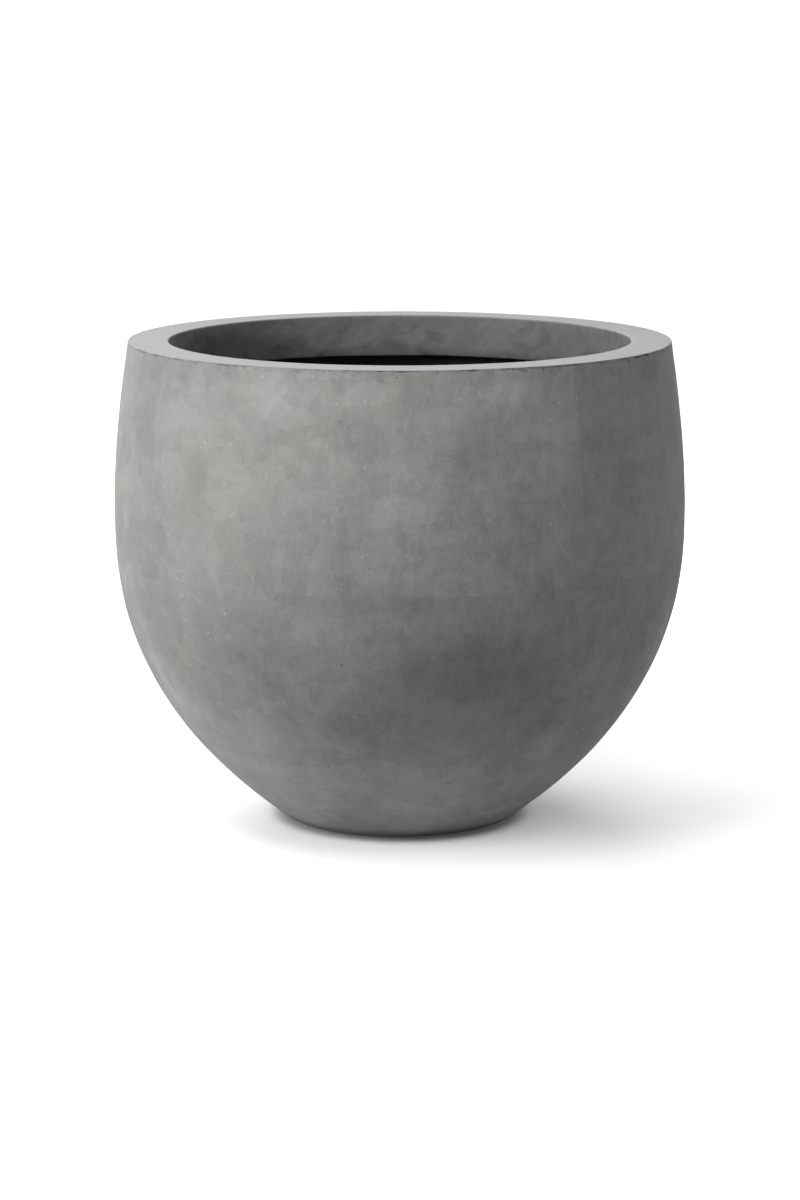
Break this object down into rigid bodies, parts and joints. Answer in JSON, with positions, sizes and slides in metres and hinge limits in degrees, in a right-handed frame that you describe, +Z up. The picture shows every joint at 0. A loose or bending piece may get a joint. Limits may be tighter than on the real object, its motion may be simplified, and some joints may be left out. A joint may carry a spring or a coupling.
{
  "type": "bowl planter",
  "caption": "Round cast-concrete bowl planter on a small flat base, with a wide flat rim, a short collar, a black lining and a lift-out drain plug.",
  "frame": {"origin": "on the floor under the centre of the bowl", "axes": "+Z up along the axis of the bowl, -Y towards the viewer of the picture, +X to the right"},
  "size_m": [0.6, 0.6, 0.508],
  "materials": {
    "cast_concrete": "smooth cast grey concrete, matt, softly mottled",
    "rim_concrete": "trowelled grey concrete, matt",
    "black_lining": "black waterproof coating, low sheen",
    "black_rubber": "moulded black rubber"
  },
  "bodies": {
    "bowl": {"bowl_shell": "cast_concrete", "rim_ring": "rim_concrete", "inner_liner": "black_lining", "floor_pad_1": "black_rubber", "floor_pad_2": "black_rubber", "floor_pad_3": "black_rubber", "floor_pad_4": "black_rubber"},
    "plug": {"drain_plug": "black_rubber"}
  },
  "joints": [
    {"name": "plug_lift", "type": "slide", "parent": "bowl", "child": "plug", "axis": [0, 0, 1], "range_m": [0, 0.52]}
  ]
}
